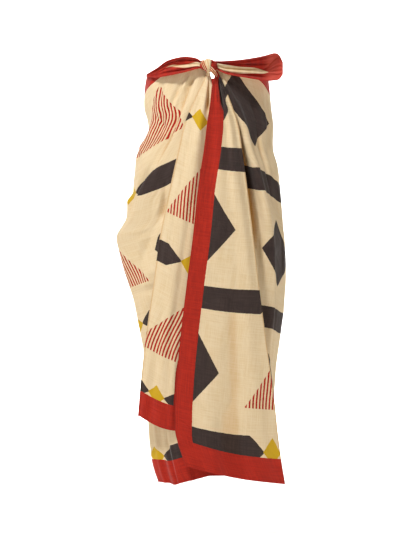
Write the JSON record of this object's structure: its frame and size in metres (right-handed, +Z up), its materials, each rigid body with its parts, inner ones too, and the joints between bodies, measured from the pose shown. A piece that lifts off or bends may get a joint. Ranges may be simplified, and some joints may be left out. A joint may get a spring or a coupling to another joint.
{
  "type": "sarong",
  "caption": "Cotton wrap cloth worn as a long skirt, knotted at the front of the waist with two hanging front panels, kept in its hollow worn form.",
  "frame": {"origin": "the middle of the waist, where the wearer holds the cloth up", "axes": "+X is the viewer's right, -Y is the front with the knot, +Z is up"},
  "size_m": [0.4207, 0.299, 1.0605],
  "materials": {
    "printed_cotton": "matt plain-woven cotton",
    "red_border_cotton": "matt plain-woven cotton"
  },
  "bodies": {
    "root": {"right_side": "printed_cotton", "back": "printed_cotton", "left_side": "printed_cotton", "right_front_panel": "printed_cotton", "left_front_panel": "printed_cotton", "right_tail": "red_border_cotton", "left_tail": "red_border_cotton", "knot": "printed_cotton"}
  },
  "joints": []
}
